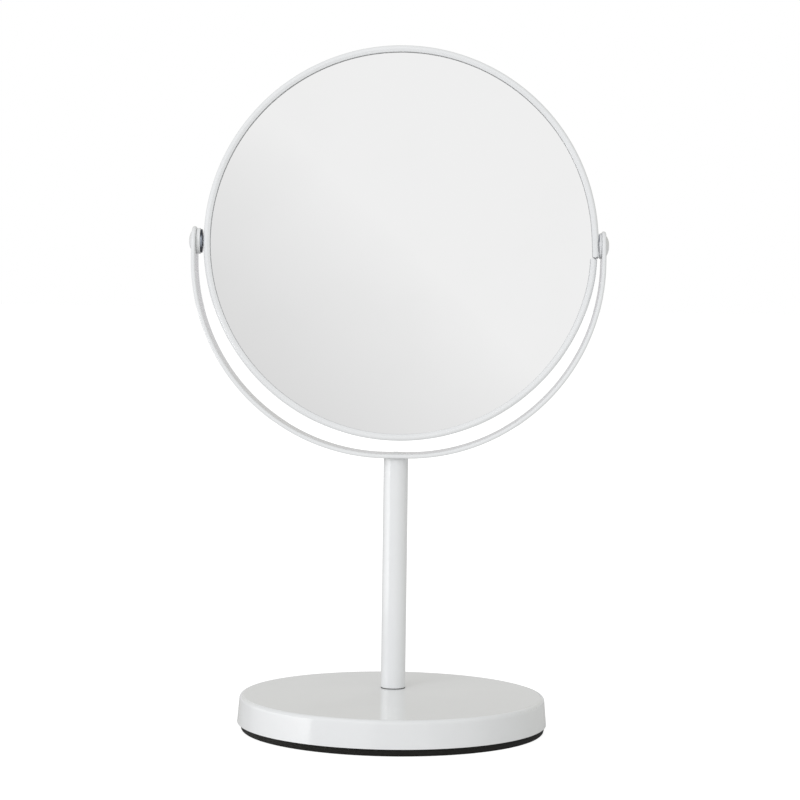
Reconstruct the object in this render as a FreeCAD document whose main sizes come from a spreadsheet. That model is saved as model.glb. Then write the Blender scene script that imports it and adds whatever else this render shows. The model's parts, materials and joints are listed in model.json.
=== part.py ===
"""A tabletop makeup mirror: a round two-sided mirror that turns in a U-shaped yoke on a weighted pedestal.

Frame: +Z up, the mirror faces -Y, +X to the viewer's right, origin at the centre of the resting face.
All lengths are in millimetres and all angles in degrees.
"""
import FreeCAD, Part
import math
import os
import re
import Sketcher
from FreeCAD import Placement, Rotation, Vector

# Driving dimensions: name, value, meaning
SIZES = (
    ("base_radius", 75.0, "pressed dish, outer radius at its open edge"),
    ("shell_height", 13.2, "pressed dish, height"),
    ("shell_wall", 1.2, "pressed dish, sheet thickness"),
    ("shell_round", 2.0, "pressed dish, outer radius of the top edge"),
    ("skirt_draft", 5.0, "pressed dish, lean of the skirt"),
    ("pad_thickness", 5.2, "foam pad, thickness"),
    ("pad_standout", 3.5, "foam pad, height that shows below the dish"),
    ("pad_clearance", 0.4, "foam pad, gap to the skirt"),
    ("pad_bevel", 0.5, "foam pad, bevel of the lower edge"),
    ("ballast_clearance", 1.5, "cast weight, gap to the skirt"),
    ("ballast_ring_width", 14.0, "cast weight, width of the deep outer ring"),
    ("ballast_draft", 1.5, "cast weight, lean of the ring's inner wall, measured across"),
    ("bolt_radius", 3.0, "base bolt, shank radius"),
    ("bolt_clearance", 0.3, "base bolt, gap in the holes that it passes through"),
    ("bolt_engagement", 12.0, "base bolt, length inside the column"),
    ("bolt_head_radius", 5.2, "base bolt, head radius"),
    ("bolt_head_height", 3.3, "base bolt, head height"),
    ("bolt_head_round", 1.8, "base bolt, radius of the head's edge"),
    ("bolt_head_gap", 0.3, "base bolt, gap between head and pad"),
    ("bolt_socket", 4.0, "base bolt, hexagon across flats"),
    ("bolt_socket_depth", 2.0, "base bolt, hexagon depth"),
    ("spring_washer_thickness", 1.5, "spring washer, thickness"),
    ("spring_washer_slit", 1.0, "spring washer, width of the slit"),
    ("flat_washer_radius", 9.0, "flat washer, outer radius"),
    ("flat_washer_thickness", 1.2, "flat washer, thickness"),
    ("column_setback", 21.0, "column axis, distance behind the middle of the base"),
    ("column_length", 114.0, "column tube, length"),
    ("tube_diameter", 12.0, "column tube, outer diameter"),
    ("tube_wall", 1.0, "column tube, wall"),
    ("tube_chamfer", 0.5, "column tube, chamfer at both ends"),
    ("insert_length", 16.0, "threaded plugs in the column, length"),
    ("insert_chamfer", 0.6, "threaded plugs in the column, lead-in chamfer"),
    ("press_clearance", 0.03, "threaded plugs in the column, gap to the tube"),
    ("thread_clearance", 0.05, "gap between a screw and its thread"),
    ("screw_chamfer", 0.5, "chamfer at a screw's tip"),
    ("yoke_width", 19.0, "yoke strip, width"),
    ("yoke_thickness", 2.1, "yoke strip, thickness"),
    ("yoke_edge_round", 0.95, "yoke strip, radius of the edges"),
    ("yoke_end", 7.2, "yoke strip, height of its rounded ends above the pivot axis"),
    ("yoke_seat", 5.0, "yoke strip, half length of the flat that sits on the column"),
    ("yoke_drop", 3.8, "yoke strip, depth beyond a half circle about the pivot axis"),
    ("yoke_screw_radius", 2.5, "yoke screw, shank radius"),
    ("yoke_screw_engagement", 10.0, "yoke screw, length inside the column"),
    ("yoke_screw_land", 0.3, "yoke screw, straight hole left below the countersink"),
    ("yoke_screw_crown", 0.7, "yoke screw, height of the raised head"),
    ("yoke_screw_clearance", 0.1, "yoke screw, gap in the yoke"),
    ("cross_recess_length", 4.4, "yoke screw, span of the cross recess"),
    ("cross_recess_width", 1.0, "yoke screw, width of the cross recess"),
    ("cross_recess_depth", 1.3, "yoke screw, depth of the cross recess below the crown"),
    ("rim_radius", 96.6, "mirror hoop, outer radius"),
    ("rim_wall", 0.7, "mirror hoop, sheet thickness"),
    ("rim_lip", 3.2, "mirror hoop, width of each lip from the outside"),
    ("rim_corner", 1.2, "mirror hoop, outer radius of the rolled corners"),
    ("rim_lip_round", 0.3, "mirror hoop, radius of the lips' edges"),
    ("seam_drop", 6.2, "mirror hoop, distance of the seam below the pivot axis"),
    ("seam_gap", 0.5, "mirror hoop, gap between its two ends"),
    ("glass_thickness", 2.0, "both glasses, thickness"),
    ("glass_clearance", 0.5, "both glasses, gap to the hoop's wall"),
    ("glass_arris", 0.3, "flat glass, bevel of the ground edge"),
    ("magnifier_radius", 1000.0, "magnifying glass, radius of its hollow face"),
    ("card_thickness", 0.4, "backing card, thickness"),
    ("belly_gap", 0.6, "gap between the backing card and the magnifying glass"),
    ("foam_ring_width", 6.0, "foam ring between the glasses, width"),
    ("foam_ring_gap", 0.3, "foam ring, gap to the pivot screws' tips"),
    ("plate_thickness", 2.0, "nut plates in the hoop, thickness"),
    ("plate_reach", 9.0, "nut plates, length on each side of the pivot axis"),
    ("joint_plate_reach", 18.0, "right nut plate, length below the pivot axis, across the seam"),
    ("plate_side_gap", 0.4, "nut plates, gap to the glasses"),
    ("face_gap", 0.05, "gap between faces that bear on each other"),
    ("running_clearance", 0.05, "pivot screws, gap in the yoke and washers"),
    ("pivot_shoulder_radius", 2.5, "pivot screws, radius of the shoulder that the yoke turns on"),
    ("pivot_thread_radius", 1.5, "pivot screws, radius of the threaded end"),
    ("pivot_tip", 0.6, "pivot screws, length past the nut plate"),
    ("dome_radius", 4.8, "pivot screws, head radius"),
    ("dome_height", 1.7, "pivot screws, head height"),
    ("dome_edge", 0.4, "pivot screws, height of the head's straight edge"),
    ("dome_socket", 3.0, "pivot screws, hexagon across flats"),
    ("dome_socket_depth", 1.0, "pivot screws, hexagon depth"),
    ("spacer_radius", 6.3, "pivot spacers, outer radius"),
    ("left_spacer", 1.9, "left pivot spacer, thickness"),
    ("right_spacer", 0.9, "right pivot spacer, thickness"),
    ("spacer_round", 0.3, "pivot spacers, radius of the edges"),
    ("friction_radius", 5.8, "friction washers, outer radius"),
    ("left_washer", 1.4, "left friction washer, thickness"),
    ("right_washer", 0.4, "right friction washer, thickness"),
    ("rest_tilt", 3.0, "lean of the mirror's top away from the viewer at rest"),
)

# Heights in the base and column
BASE_TOP = "(pad_standout + shell_height)"
SHELL_INSIDE = f"({BASE_TOP} - shell_wall)"
BOLT_HEAD_BOTTOM = "(pad_thickness + bolt_head_gap)"
BOLT_HEAD_TOP = f"({BOLT_HEAD_BOTTOM} + bolt_head_height)"
SPRING_WASHER_TOP = f"({BOLT_HEAD_TOP} + spring_washer_thickness)"
WEB_BOTTOM = f"({SPRING_WASHER_TOP} + flat_washer_thickness)"
YOKE_UNDERSIDE = f"({BASE_TOP} + column_length)"

# Radii in the base and column
SKIN = "(shell_wall / cos(skirt_draft))"
SHELL_TOP_RADIUS = "(base_radius - shell_height * tan(skirt_draft))"
CAVITY_TOP_RADIUS = f"(base_radius - (shell_height - shell_wall) * tan(skirt_draft) - {SKIN})"
PAD_RADIUS = f"(base_radius - {SKIN} - pad_clearance)"
BALLAST_RADIUS = f"({CAVITY_TOP_RADIUS} - ballast_clearance)"
BALLAST_RING_INNER = f"({BALLAST_RADIUS} - ballast_ring_width)"
BOLT_HOLE = "(bolt_radius + bolt_clearance)"
TUBE_RADIUS = "(tube_diameter / 2)"
TUBE_BORE = f"({TUBE_RADIUS} - tube_wall)"
INSERT_RADIUS = f"({TUBE_BORE} - press_clearance)"

# The pivots along X, from the middle of the yoke outwards; the thicker left stack sets the head to the right
LEFT_STACK = "(left_spacer + left_washer)"
RIGHT_STACK = "(right_spacer + right_washer)"
HEAD_SHIFT = f"(({LEFT_STACK} - {RIGHT_STACK}) / 2)"
YOKE_INNER = f"(rim_radius + 3 * face_gap + ({LEFT_STACK} + {RIGHT_STACK}) / 2)"
SPACER_END = f"({YOKE_INNER} - face_gap)"
YOKE_OUTER = f"({YOKE_INNER} + yoke_thickness)"
DOME_START = f"({YOKE_OUTER} + face_gap)"
DOME_SIDE = f"({DOME_START} + dome_edge)"
DOME_END = f"({DOME_START} + dome_height)"
SHOULDER_HOLE = "(pivot_shoulder_radius + running_clearance)"
THREAD_HOLE = "(pivot_thread_radius + thread_clearance)"
END_RADIUS = "(yoke_width / 2)"
END_CENTRE = "(yoke_end - yoke_width / 2)"
YOKE_SCREW_HEAD = "(yoke_screw_radius + yoke_thickness - yoke_screw_land)"
PIVOT_HEIGHT = f"({YOKE_UNDERSIDE} + {YOKE_OUTER} + yoke_drop)"

# The mirror head: radii, then depths along Y from the pivot axis
HOOP_INSIDE = "(rim_radius - rim_wall)"
LIP_RADIUS = "(rim_radius - rim_lip)"
GLASS_RADIUS = f"({HOOP_INSIDE} - glass_clearance)"
PLATE_OUTER = f"({HOOP_INSIDE} - face_gap)"
PLATE_INNER = f"({PLATE_OUTER} - plate_thickness)"
SCREW_TIP = f"({PLATE_INNER} - pivot_tip)"
FOAM_OUTER = f"({SCREW_TIP} - foam_ring_gap)"
FOAM_INNER = f"({FOAM_OUTER} - foam_ring_width)"
EDGE_DROP = f"sqrt(magnifier_radius^2 - {GLASS_RADIUS}^2)"
HOLLOW = f"(magnifier_radius - {EDGE_DROP})"
HALF_INSIDE = f"(glass_thickness + (card_thickness + belly_gap + {HOLLOW}) / 2)"
HALF_DEPTH = f"({HALF_INSIDE} + rim_wall)"
GLASS_BACK = f"(glass_thickness - {HALF_INSIDE})"
CARD_BACK = f"({GLASS_BACK} + card_thickness)"
CURVE_CENTRE = f"({HALF_INSIDE} + {EDGE_DROP})"
PLATE_HALF_WIDTH = f"({HALF_INSIDE} - glass_thickness - plate_side_gap)"

# Frames that the pieces are built in
ON_BASE = "placement(vector(0; 0; 0); rotation(vector(0; 0; 1); 0))"
ON_COLUMN = "placement(vector(0; column_setback; 0); rotation(vector(0; 0; 1); 0))"
AT_PIVOT = f"placement(vector(0; column_setback; {PIVOT_HEIGHT}); rotation(vector(0; 0; 1); 0))"
LEAN = "rotation(vector(1; 0; 0); -rest_tilt)"
LEANING = f"placement(vector(0; column_setback; {PIVOT_HEIGHT}); {LEAN})"
HEAD = f"placement(vector({HEAD_SHIFT}; column_setback; {PIVOT_HEIGHT}); {LEAN})"
HALF_TURN = "placement(vector(0; 0; 0); rotation(vector(0; 0; 1); 180))"

LEFT_TURN = 1
RIGHT_TURN = -1
SAME_PLACE = 1e-6

doc = FreeCAD.newDocument("makeup_mirror")
sheet = doc.addObject("Spreadsheet::Sheet", "Sizes")
for row, (name, size, meaning) in enumerate(SIZES, start=1):
    sheet.set(f"A{row}", name)
    sheet.set(f"B{row}", str(size))
    sheet.set(f"C{row}", meaning)
    sheet.setAlias(f"B{row}", name)
doc.recompute()
ALIASES = {name for name, size, meaning in SIZES}


def bound(expression):
    """The expression with every size's name pointing at its cell."""
    return re.sub(r"[a-z_]+", lambda word: f"Sizes.{word[0]}" if word[0] in ALIASES else word[0], expression)


def value(expression):
    """What the expression comes to with the sheet's sizes."""
    return float(sheet.evalExpression(expression))


def new_body(name, frame):
    """An empty body with its own label, placed in one of the frames."""
    body = doc.addObject("PartDesign::Body", name)
    body.Label = name
    body.setExpression("Placement", bound(frame))
    return body


def new_sketch(body, plane, offset="0"):
    """A sketch on one of the body's origin planes, moved along the plane's normal."""
    sketch = body.newObject("Sketcher::SketchObject", f"{body.Name}_sketch")
    support = [part for part in body.Origin.OriginFeatures if part.Role == plane]
    sketch.AttachmentSupport = [(support[0], "")]
    sketch.MapMode = "FlatFace"
    sketch.AttachmentOffset = Placement(Vector(0, 0, value(offset)), Rotation())
    sketch.setExpression("AttachmentOffset.Base.z", bound(offset))
    return sketch


def hold(sketch, geometry, end, kind, expression):
    """Hold a point's distance from one axis at an expression's value."""
    distance = value(expression)
    if abs(distance) < SAME_PLACE:
        axis = -2 if kind == "DistanceX" else -1
        sketch.addConstraint(Sketcher.Constraint("PointOnObject", geometry, end, axis))
        return
    if distance > 0:
        index = sketch.addConstraint(Sketcher.Constraint(kind, -1, 1, geometry, end, distance))
        sketch.setExpression(f"Constraints[{index}]", bound(expression))
        return
    index = sketch.addConstraint(Sketcher.Constraint(kind, geometry, end, -1, 1, -distance))
    sketch.setExpression(f"Constraints[{index}]", bound(f"-({expression})"))


def hold_radius(sketch, geometry, expression):
    """Hold an arc's or circle's radius at an expression's value."""
    index = sketch.addConstraint(Sketcher.Constraint("Radius", geometry, value(expression)))
    sketch.setExpression(f"Constraints[{index}]", bound(expression))


def arc_between(start, finish, radius, turn):
    """The arc of under a half circle from start to finish that turns left or right."""
    chord = finish - start
    left = Vector(-chord.y, chord.x, 0).normalize()
    rise = math.sqrt(radius ** 2 - (chord.Length / 2) ** 2)
    centre = start + chord * 0.5 + left * (rise * turn)
    first, last = (start, finish) if turn == LEFT_TURN else (finish, start)
    angles = [math.atan2(point.y - centre.y, point.x - centre.x) for point in (first, last)]
    if angles[1] < angles[0]:
        angles[1] += 2 * math.pi
    return Part.ArcOfCircle(Part.Circle(centre, Vector(0, 0, 1), radius), *angles)


def draw(sketch, corners):
    """Draw a closed outline whose corners are held by expressions.

    A corner is (across, up) where a straight side leaves it, or (across, up, radius, turn) where an arc does.
    """
    points = [Vector(value(corner[0]), value(corner[1]), 0) for corner in corners]
    sides = []
    for index, corner in enumerate(corners):
        finish = points[(index + 1) % len(points)]
        if len(corner) == 2:
            side = sketch.addGeometry(Part.LineSegment(points[index], finish), False)
            sides.append((side, 1, 2))
            continue
        radius, turn = corner[2:]
        side = sketch.addGeometry(arc_between(points[index], finish, value(radius), turn), False)
        sides.append((side, 1, 2) if turn == LEFT_TURN else (side, 2, 1))
    for index, (side, start, finish) in enumerate(sides):
        following, following_start, _ = sides[(index + 1) % len(sides)]
        sketch.addConstraint(Sketcher.Constraint("Coincident", side, finish, following, following_start))
    for corner, (side, start, _) in zip(corners, sides):
        hold(sketch, side, start, "DistanceX", corner[0])
        hold(sketch, side, start, "DistanceY", corner[1])
        if len(corner) == 4:
            hold_radius(sketch, side, corner[2])


def draw_circle(sketch, radius, across="0", up="0"):
    """Draw a circle about a point held by two expressions."""
    centre = Vector(value(across), value(up), 0)
    circle = sketch.addGeometry(Part.Circle(centre, Vector(0, 0, 1), value(radius)), False)
    hold(sketch, circle, 3, "DistanceX", across)
    hold(sketch, circle, 3, "DistanceY", up)
    hold_radius(sketch, circle, radius)


def turn_profile(body, plane, axis, corners, kind="Revolution"):
    """Turn a closed outline a full circle about the sketch's own axis, adding material or cutting it."""
    before = body.Shape.Volume if kind == "Groove" else 0
    sketch = new_sketch(body, plane)
    draw(sketch, corners)
    feature = body.newObject(f"PartDesign::{kind}", f"{body.Name}_turned")
    feature.Profile = sketch
    feature.ReferenceAxis = (sketch, [axis])
    feature.Angle = 360
    doc.recompute()
    if kind == "Groove" and body.Shape.Volume >= before:
        raise RuntimeError(f"{body.Name}: a groove cut nothing")
    return feature


def extrude(body, sketch, length):
    """Thicken a sketch evenly to both sides of its plane."""
    feature = body.newObject("PartDesign::Pad", f"{body.Name}_pad")
    feature.Profile = sketch
    feature.SideType = "Symmetric"
    feature.setExpression("Length", bound(length))
    doc.recompute()
    return feature


def cut_through(body, sketch):
    """Cut a sketch through the whole body, to both sides of its plane."""
    before = body.Shape.Volume
    feature = body.newObject("PartDesign::Pocket", f"{body.Name}_cut")
    feature.Profile = sketch
    feature.SideType = "Symmetric"
    feature.Type = "ThroughAll"
    doc.recompute()
    if body.Shape.Volume >= before:
        raise RuntimeError(f"{body.Name}: a through cut removed nothing")


def cut_into(body, sketch, depth, upwards):
    """Cut a sketch to a depth, against its plane's normal or along it."""
    before = body.Shape.Volume
    feature = body.newObject("PartDesign::Pocket", f"{body.Name}_recess")
    feature.Profile = sketch
    feature.Reversed = upwards
    feature.setExpression("Length", bound(depth))
    doc.recompute()
    if body.Shape.Volume >= before:
        raise RuntimeError(f"{body.Name}: a recess removed nothing")


def cut_hole(body, plane, radius, across="0", up="0"):
    """Cut a round hole through the whole body, square to one of its planes."""
    sketch = new_sketch(body, plane)
    draw_circle(sketch, radius, across, up)
    cut_through(body, sketch)


def round_edges(body, radius, chosen):
    """Round the edges of the body's last feature that a test picks out."""
    base = body.Tip
    names = [f"Edge{index}" for index, edge in enumerate(base.Shape.Edges, start=1) if chosen(edge)]
    feature = body.newObject("PartDesign::Fillet", f"{body.Name}_round")
    feature.Base = (base, names)
    feature.setExpression("Radius", bound(radius))
    doc.recompute()


def on_circle(radius, level, axis):
    """A test for edges that lie on a circle of this radius, this far along the body's axis."""
    size = value(radius)
    place = value(level)

    def test(edge):
        if not isinstance(edge.Curve, Part.Circle):
            return False
        centre = edge.Curve.Center
        along = getattr(centre, axis)
        return abs(edge.Curve.Radius - size) < SAME_PLACE and abs(along - place) < SAME_PLACE
    return test


def hexagon(across_flats):
    """The six corners of a hexagon, for a key."""
    corner = f"({across_flats} / sqrt(3))"
    half = f"({across_flats} / 2)"
    return (
        (corner, "0"), (f"{corner} / 2", half), (f"-{corner} / 2", half),
        (f"-{corner}", "0"), (f"-{corner} / 2", f"-{half}"), (f"{corner} / 2", f"-{half}"),
    )


def cross(span, width):
    """The twelve corners of a cross recess."""
    far = f"({span} / 2)"
    near = f"({width} / 2)"
    return (
        (far, f"-{near}"), (far, near), (near, near), (near, far), (f"-{near}", far), (f"-{near}", near),
        (f"-{far}", near), (f"-{far}", f"-{near}"), (f"-{near}", f"-{near}"), (f"-{near}", f"-{far}"),
        (near, f"-{far}"), (near, f"-{near}"),
    )


def ring(body, plane, axis, inner, outer, low, high):
    """A plain ring between two radii and two levels along the turning axis."""
    if axis == "H_Axis":
        return turn_profile(body, plane, axis, ((low, inner), (high, inner), (high, outer), (low, outer)))
    return turn_profile(body, plane, axis, ((inner, low), (outer, low), (outer, high), (inner, high)))


def build_base():
    """The pressed dish, the cast weight in it, the foam pad under it and the bolt that holds the column."""
    shell = new_body("base_shell", ON_BASE)
    turn_profile(shell, "XZ_Plane", "V_Axis", (
        ("0", "pad_standout"), ("base_radius", "pad_standout"),
        (SHELL_TOP_RADIUS, BASE_TOP), ("0", BASE_TOP),
    ))
    round_edges(shell, "shell_round", on_circle(SHELL_TOP_RADIUS, BASE_TOP, "z"))
    turn_profile(shell, "XZ_Plane", "V_Axis", (
        ("0", "pad_standout"), (f"base_radius - {SKIN}", "pad_standout"),
        (CAVITY_TOP_RADIUS, SHELL_INSIDE), ("0", SHELL_INSIDE),
    ), "Groove")
    round_edges(shell, "shell_round - shell_wall", on_circle(CAVITY_TOP_RADIUS, SHELL_INSIDE, "z"))
    cut_hole(shell, "XY_Plane", BOLT_HOLE, up="column_setback")

    ballast = new_body("ballast_weight", ON_BASE)
    turn_profile(ballast, "XZ_Plane", "V_Axis", (
        ("0", WEB_BOTTOM), (f"{BALLAST_RING_INNER} - ballast_draft", WEB_BOTTOM),
        (BALLAST_RING_INNER, "pad_thickness"), (BALLAST_RADIUS, "pad_thickness"),
        (BALLAST_RADIUS, f"{SHELL_INSIDE} - ballast_clearance"),
        (f"{BALLAST_RADIUS} - ballast_clearance", SHELL_INSIDE), ("0", SHELL_INSIDE),
    ))
    cut_hole(ballast, "XY_Plane", BOLT_HOLE, up="column_setback")

    pad = new_body("base_pad", ON_BASE)
    turn_profile(pad, "XZ_Plane", "V_Axis", (
        ("0", "0"), (f"{PAD_RADIUS} - pad_bevel", "0"), (PAD_RADIUS, "pad_bevel"),
        (PAD_RADIUS, "pad_thickness"), ("0", "pad_thickness"),
    ))

    bolt_end = f"({BASE_TOP} + bolt_engagement)"
    bolt = new_body("base_bolt", ON_COLUMN)
    turn_profile(bolt, "XZ_Plane", "V_Axis", (
        ("0", BOLT_HEAD_BOTTOM), ("bolt_head_radius", BOLT_HEAD_BOTTOM),
        ("bolt_head_radius", BOLT_HEAD_TOP), ("bolt_radius", BOLT_HEAD_TOP),
        ("bolt_radius", f"{bolt_end} - screw_chamfer"), ("bolt_radius - screw_chamfer", bolt_end),
        ("0", bolt_end),
    ))
    round_edges(bolt, "bolt_head_round", on_circle("bolt_head_radius", BOLT_HEAD_BOTTOM, "z"))
    socket = new_sketch(bolt, "XY_Plane", BOLT_HEAD_BOTTOM)
    draw(socket, hexagon("bolt_socket"))
    cut_into(bolt, socket, "bolt_socket_depth", upwards=True)

    spring = new_body("base_spring_washer", ON_COLUMN)
    ring(spring, "XZ_Plane", "V_Axis", BOLT_HOLE, "bolt_head_radius", BOLT_HEAD_TOP, SPRING_WASHER_TOP)
    slit = new_sketch(spring, "XY_Plane")
    slit_end = "(bolt_head_radius * 2)"
    draw(slit, (
        ("0", "-spring_washer_slit / 2"), (slit_end, "-spring_washer_slit / 2"),
        (slit_end, "spring_washer_slit / 2"), ("0", "spring_washer_slit / 2"),
    ))
    cut_through(spring, slit)

    washer = new_body("base_flat_washer", ON_COLUMN)
    ring(washer, "XZ_Plane", "V_Axis", BOLT_HOLE, "flat_washer_radius", SPRING_WASHER_TOP, WEB_BOTTOM)


def build_insert(name, thread_radius, mouth, inward):
    """A plug pressed into one end of the column, threaded for the screw that enters at its mouth."""
    bore = f"({thread_radius} + thread_clearance)"
    end = f"({mouth} {inward} insert_length)"
    chamfer_start = f"({mouth} {inward} (insert_length - insert_chamfer))"
    turn_profile(new_body(name, ON_COLUMN), "XZ_Plane", "V_Axis", (
        (bore, mouth), (INSERT_RADIUS, mouth), (INSERT_RADIUS, chamfer_start),
        (f"{INSERT_RADIUS} - insert_chamfer", end), (bore, end),
    ))


def build_column():
    """The tube between base and yoke, with a threaded plug in each end."""
    foot = BASE_TOP
    head = YOKE_UNDERSIDE
    turn_profile(new_body("column_tube", ON_COLUMN), "XZ_Plane", "V_Axis", (
        (TUBE_BORE, foot), (f"{TUBE_RADIUS} - tube_chamfer", foot), (TUBE_RADIUS, f"{foot} + tube_chamfer"),
        (TUBE_RADIUS, f"{head} - tube_chamfer"), (f"{TUBE_RADIUS} - tube_chamfer", head), (TUBE_BORE, head),
    ))
    build_insert("column_foot_insert", "bolt_radius", foot, "+")
    build_insert("column_head_insert", "yoke_screw_radius", head, "-")


def build_yoke():
    """The strip bent to a U with a flat seat, rounded ends and a countersunk hole at the bottom."""
    yoke = new_body("yoke", AT_PIVOT)
    bend = "(-yoke_drop - yoke_seat)"
    inner_bend = f"({YOKE_INNER} - yoke_seat)"
    outer_bend = f"({YOKE_OUTER} - yoke_seat)"
    top = f"(-yoke_drop - {YOKE_INNER})"
    underside = f"(-yoke_drop - {YOKE_OUTER})"
    strip = new_sketch(yoke, "XZ_Plane")
    draw(strip, (
        (YOKE_OUTER, END_CENTRE), (YOKE_INNER, END_CENTRE),
        (YOKE_INNER, bend, inner_bend, RIGHT_TURN), ("yoke_seat", top),
        ("-yoke_seat", top, inner_bend, RIGHT_TURN), (f"-{YOKE_INNER}", bend),
        (f"-{YOKE_INNER}", END_CENTRE), (f"-{YOKE_OUTER}", END_CENTRE),
        (f"-{YOKE_OUTER}", bend, outer_bend, LEFT_TURN), ("-yoke_seat", underside),
        ("yoke_seat", underside, outer_bend, LEFT_TURN), (YOKE_OUTER, bend),
    ))
    extrude(yoke, strip, "yoke_width")
    middle = f"({YOKE_INNER} + yoke_thickness / 2)"
    for offset in (middle, f"-{middle}"):
        end = new_sketch(yoke, "YZ_Plane", offset)
        draw_circle(end, END_RADIUS, up=END_CENTRE)
        extrude(yoke, end, "yoke_thickness")

    side = value(END_RADIUS)
    highest = value("yoke_end")
    faces = [value(YOKE_INNER), value(YOKE_OUTER)]

    def long_edge(edge):
        box = edge.BoundBox
        on_side = box.YLength < SAME_PLACE and abs(abs(box.YMin) - side) < SAME_PLACE
        round_end = box.XLength < SAME_PLACE and box.ZMax > highest - SAME_PLACE
        on_face = min(abs(abs(box.XMin) - face) for face in faces) < SAME_PLACE
        return (on_side and max(box.XLength, box.ZLength) > SAME_PLACE) or (round_end and on_face)

    round_edges(yoke, "yoke_edge_round", long_edge)
    cut_hole(yoke, "YZ_Plane", SHOULDER_HOLE)

    narrow = "(yoke_screw_radius + yoke_screw_clearance)"
    wide = f"({YOKE_SCREW_HEAD} + yoke_screw_clearance)"
    turn_profile(yoke, "XZ_Plane", "V_Axis", (
        ("0", f"{underside} - yoke_thickness"), (narrow, f"{underside} - yoke_thickness"),
        (narrow, f"{underside} + yoke_screw_land"), (wide, top),
        (wide, f"{top} + yoke_thickness"), ("0", f"{top} + yoke_thickness"),
    ), "Groove")

    screw = new_body("yoke_screw", ON_COLUMN)
    tip = f"({YOKE_UNDERSIDE} - yoke_screw_engagement)"
    rim = f"({YOKE_UNDERSIDE} + yoke_thickness)"
    crown = f"({rim} + yoke_screw_crown)"
    crown_radius = f"(({YOKE_SCREW_HEAD}^2 + yoke_screw_crown^2) / (2 * yoke_screw_crown))"
    turn_profile(screw, "XZ_Plane", "V_Axis", (
        ("0", tip), ("yoke_screw_radius - screw_chamfer", tip),
        ("yoke_screw_radius", f"{tip} + screw_chamfer"),
        ("yoke_screw_radius", f"{YOKE_UNDERSIDE} + yoke_screw_land"),
        (YOKE_SCREW_HEAD, rim, crown_radius, LEFT_TURN), ("0", crown),
    ))
    recess = new_sketch(screw, "XY_Plane", crown)
    draw(recess, cross("cross_recess_length", "cross_recess_width"))
    cut_into(screw, recess, "cross_recess_depth", upwards=False)


def build_hoop():
    """The hoop: a C-shaped channel rolled into a ring, open at a seam beside the right pivot."""
    hoop = new_body("rim_hoop", HEAD)
    turn_profile(hoop, "XY_Plane", "V_Axis", (
        (LIP_RADIUS, f"-{HALF_DEPTH}"), ("rim_radius", f"-{HALF_DEPTH}"),
        ("rim_radius", HALF_DEPTH), (LIP_RADIUS, HALF_DEPTH),
        (LIP_RADIUS, HALF_INSIDE), (HOOP_INSIDE, HALF_INSIDE),
        (HOOP_INSIDE, f"-{HALF_INSIDE}"), (LIP_RADIUS, f"-{HALF_INSIDE}"),
    ))

    def at_both(radius, level):
        front = on_circle(radius, f"-{level}", "y")
        back = on_circle(radius, level, "y")
        return lambda edge: front(edge) or back(edge)

    def lip_edge(edge):
        return at_both(LIP_RADIUS, HALF_DEPTH)(edge) or at_both(LIP_RADIUS, HALF_INSIDE)(edge)

    round_edges(hoop, "rim_corner", at_both("rim_radius", HALF_DEPTH))
    round_edges(hoop, "rim_corner - rim_wall", at_both(HOOP_INSIDE, HALF_INSIDE))
    round_edges(hoop, "rim_lip_round", lip_edge)
    cut_hole(hoop, "YZ_Plane", THREAD_HOLE)
    seam = new_sketch(hoop, "XZ_Plane")
    near = f"({LIP_RADIUS} - rim_lip)"
    far = "(rim_radius + rim_lip)"
    draw(seam, (
        (near, "-seam_drop - seam_gap / 2"), (far, "-seam_drop - seam_gap / 2"),
        (far, "-seam_drop + seam_gap / 2"), (near, "-seam_drop + seam_gap / 2"),
    ))
    cut_through(hoop, seam)


def build_glasses():
    """The flat glass, the magnifying glass behind it, and the card and foam ring between them."""
    front = f"(-{HALF_INSIDE})"
    turn_profile(new_body("front_glass", HEAD), "XY_Plane", "V_Axis", (
        ("0", front), (f"{GLASS_RADIUS} - glass_arris", front), (GLASS_RADIUS, f"{front} + glass_arris"),
        (GLASS_RADIUS, f"{GLASS_BACK} - glass_arris"), (f"{GLASS_RADIUS} - glass_arris", GLASS_BACK),
        ("0", GLASS_BACK),
    ))
    turn_profile(new_body("backing_card", HEAD), "XY_Plane", "V_Axis", (
        ("0", GLASS_BACK), (FOAM_OUTER, GLASS_BACK), (FOAM_OUTER, CARD_BACK), ("0", CARD_BACK),
    ))
    belly_radius = "(magnifier_radius + glass_thickness)"
    turn_profile(new_body("magnifying_glass", HEAD), "XY_Plane", "V_Axis", (
        ("0", f"{CURVE_CENTRE} - {belly_radius}", belly_radius, LEFT_TURN),
        (GLASS_RADIUS, f"{CURVE_CENTRE} - sqrt({belly_radius}^2 - {GLASS_RADIUS}^2)"),
        (GLASS_RADIUS, HALF_INSIDE, "magnifier_radius", RIGHT_TURN),
        ("0", f"{CURVE_CENTRE} - magnifier_radius"),
    ))
    bed_radius = f"({belly_radius} + face_gap)"
    turn_profile(new_body("foam_ring", HEAD), "XY_Plane", "V_Axis", (
        (FOAM_INNER, CARD_BACK), (FOAM_OUTER, CARD_BACK),
        (FOAM_OUTER, f"{CURVE_CENTRE} - sqrt({bed_radius}^2 - {FOAM_OUTER}^2)", bed_radius, RIGHT_TURN),
        (FOAM_INNER, f"{CURVE_CENTRE} - sqrt({bed_radius}^2 - {FOAM_INNER}^2)"),
    ))


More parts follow.
